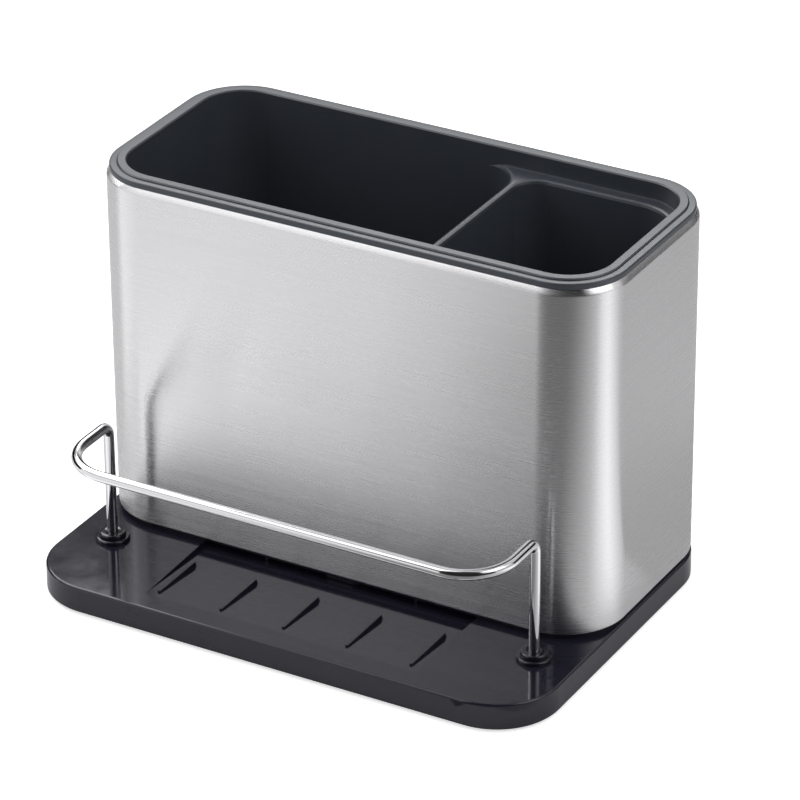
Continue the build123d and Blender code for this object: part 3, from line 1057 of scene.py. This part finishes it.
@dataclass
class Studio:
    """Pale floor, soft lights and the cards that the steel mirrors.

    The start, end and wall sizes are radii of the cards round the object, and the heights part the
    standing cards into rows.
    """

    floor_size: float = 6.0
    floor_colour: str = "F2F2F2"
    floor_lift: float = 0.68
    world_light: float = 0.5
    wall: float = 0.9
    mat_start: float = 0.2
    tray_start: float = 0.11
    near_start: float = 0.13
    near_end: float = 0.21
    mat_height: float = 0.4 * MM
    wall_height: float = 1.3
    low_height: float = 0.4
    sheet_height: float = 0.56
    soft_height: float = 0.8
    card_step: float = 3.0
    lamp_side: float = 0.65
    lamp_height: float = 0.7
    lamp_size: float = 0.5
    lamp_aim: tuple[float, float, float] = (0, 0, 0.08)
    left_power: float = 2.8
    right_power: float = 1.3

    def build_floor(self) -> None:
        """Lay the floor, pale where lit and lifted towards white for the eye, with the object's shadow."""
        bm = bmesh.new()
        bmesh.ops.create_grid(bm, x_segments=1, y_segments=1, size=self.floor_size)
        mesh = bpy.data.meshes.new("floor")
        bm.to_mesh(mesh)
        bm.free()
        floor = bpy.data.objects.new("floor", mesh)
        bpy.context.scene.collection.objects.link(floor)
        material, tree = new_material("pale_floor")
        plain_floor = add_node(tree, "ShaderNodeBsdfDiffuse", values={"Color": linear(self.floor_colour)})
        path = add_node(tree, "ShaderNodeLightPath")
        lift = add_node(
            tree, "ShaderNodeMath", operation="MULTIPLY", values={1: self.floor_lift},
            links={0: path.outputs["Is Camera Ray"]},
        )
        glow = add_node(tree, "ShaderNodeEmission", links={"Strength": lift.outputs[0]})
        both = add_node(tree, "ShaderNodeAddShader", links={0: plain_floor.outputs[0], 1: glow.outputs[0]})
        add_node(tree, "ShaderNodeOutputMaterial", links={"Surface": both.outputs[0]})
        floor.data.materials.append(material)

    def build_world(self) -> None:
        """Set the plain surround, white to the eye and in mirrors, and a soft light on the object."""
        world = bpy.data.worlds.new("studio_surround")
        world.use_nodes = True
        bpy.context.scene.world = world
        tree = world.node_tree
        tree.nodes.clear()
        path = add_node(tree, "ShaderNodeLightPath")
        seen = add_node(
            tree, "ShaderNodeMath", operation="ADD", use_clamp=True,
            links={0: path.outputs["Is Camera Ray"], 1: path.outputs["Is Glossy Ray"]},
        )
        strength = add_node(
            tree, "ShaderNodeMapRange", values={"To Min": self.world_light, "To Max": 1.0},
            links={"Value": seen.outputs[0]},
        )
        sky = add_node(
            tree, "ShaderNodeBackground", values={"Color": WHITE}, links={"Strength": strength.outputs[0]}
        )
        add_node(tree, "ShaderNodeOutputWorld", links={"Surface": sky.outputs[0]})

    def add_lamp(self, name: str, side: float, power: float) -> None:
        """Hang a soft box beside the object.

        Args:
            name: Name of the lamp.
            side: Its place from left to right.
            power: Radiant power in watts.
        """
        lamp = bpy.data.lights.new(name, "AREA")
        lamp.shape = "SQUARE"
        lamp.size = self.lamp_size
        lamp.energy = power
        holder = bpy.data.objects.new(name, lamp)
        holder.location = (side, 0, self.lamp_height)
        way = Vector(self.lamp_aim) - Vector(holder.location)
        holder.rotation_euler = way.to_track_quat("-Z", "Y").to_euler()
        bpy.context.scene.collection.objects.link(holder)

    def cards(self) -> list[Card]:
        """Cards that give the steel its light and dark bands.

        Returns:
            The cards, none over another.
        """
        stand = (self.wall, self.wall)
        lie = (self.mat_start, self.wall)
        near = (self.near_start, self.wall)
        roof = (0.0, self.wall)
        low = (0.0, self.low_height)
        high = (self.low_height, self.wall_height)
        flat = (self.mat_height, self.mat_height)
        top = (self.wall_height, self.wall_height)
        return [
            Card("front_flag", -24, 60, stand, high, (0.02, 0.02)),
            Card("front_flag_edge", 60, 80, stand, high, (0.27, 0.27)),
            Card("front_flag_fade", 80, 100, stand, high, (0.66, 0.66)),
            Card("low_flag", -15, 80, stand, low, (0.02, 0.02)),
            Card("low_flag_edge", 80, 120, stand, low, (0.5, 0.5)),
            Card("back_flag", 120, 290, stand, low, (0.0, 0.0)),
            Card("back_shade", 180, 240, stand, (self.low_height, self.sheet_height), (0.3, 0.3)),
            Card("back_sheet", 180, 240, stand, (self.sheet_height, self.wall_height), (4.6, 4.6)),
            Card("right_shade", 120, 180, stand, high, (0.6, 0.6)),
            Card("left_shade", 290, 336, stand, (self.low_height, self.soft_height), (0.6, 0.6)),
            Card("left_sheet", 290, 336, stand, (self.soft_height, self.wall_height), (2.0, 2.0)),
            Card("tray_shade", -4, 40, (self.tray_start, self.near_start), flat, (0.5, 0.1)),
            Card("front_shade", -12, 4, (self.near_start, self.near_end), flat, (0.5, 0.14)),
            Card("front_mat_edge", -22, -12, near, flat, (0.8, 0.62)),
            Card("front_mat_fade", -12, 4, (self.near_end, self.wall), flat, (0.6, 0.26)),
            Card("front_mat", 4, 45, near, flat, (0.24, 0.24)),
            Card("side_mat_edge", 45, 78, near, flat, (0.25, 0.66)),
            Card("side_strip_rise", 78, 95, near, flat, (0.75, 1.3)),
            Card("side_strip_fall", 95, 113, near, flat, (1.3, 0.72)),
            Card("right_mat_near", 113, 180, (self.near_start, self.near_end), flat, (0.46, 0.46)),
            Card("right_mat", 113, 180, (self.near_end, self.wall), flat, (0.64, 0.58)),
            Card("back_mat", 180, 280, lie, flat, (0.75, 0.75)),
            Card("left_mat_near", 300, 338, (self.near_start, self.near_end), flat, (1.25, 0.9)),
            Card("left_mat", 280, 338, (self.near_end, self.wall), flat, (1.1, 0.84)),
            Card("ceiling_front", -24, 70, roof, top, (0.04, 0.04)),
            Card("ceiling", 70, 290, roof, top, (0.6, 0.6)),
            Card("ceiling_left", 290, 336, roof, top, (1.8, 1.8)),
        ]

    def build(self) -> None:
        """Set up the whole studio."""
        self.build_floor()
        self.build_world()
        self.add_lamp("left_box", -self.lamp_side, self.left_power)
        self.add_lamp("right_box", self.lamp_side, self.right_power)
        for card in self.cards():
            card.build(self.card_step)


@dataclass
class PhotoCamera:
    """Camera at the photograph's angle.

    The place is in metres, the lens and the sensor in millimetres and the angles in degrees. The shift
    is in shares of the frame's width.
    """

    place: tuple[float, float, float] = (0.72993, -1.25786, 0.85057)
    tilt: float = 61.8891
    heading: float = 29.6461
    roll: float = -0.3818
    lens: float = 206.7376
    sensor: float = 36.0
    shift: tuple[float, float] = (-0.0021, 0.0011)
    far_clip: float = 100.0

    def build(self) -> None:
        """Set up the camera."""
        data = bpy.data.cameras.new("photo_camera")
        data.lens = self.lens
        data.sensor_width = self.sensor
        data.shift_x, data.shift_y = self.shift
        data.clip_end = self.far_clip
        camera = bpy.data.objects.new("photo_camera", data)
        aim = Euler((math.radians(self.tilt), 0, math.radians(self.heading))).to_matrix().to_4x4()
        level = Matrix.Rotation(math.radians(self.roll), 4, "Z")
        camera.matrix_world = Matrix.Translation(self.place) @ aim @ level
        bpy.context.scene.collection.objects.link(camera)
        bpy.context.scene.camera = camera


def main() -> None:
    """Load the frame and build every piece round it."""
    logging.basicConfig(level=logging.INFO, format="%(name)s: %(message)s")
    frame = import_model()
    nodes = frame["nodes"]
    finishes = Finishes()
    Container(finishes).build(nodes)
    WireRail(finishes).build(nodes)
    DrainTray(finishes).build(nodes)
    Liner(finishes).build(nodes)
    Studio().build()
    PhotoCamera().build()
    bpy.context.scene.view_settings.view_transform = "Standard"


if __name__ == "__main__":
    main()
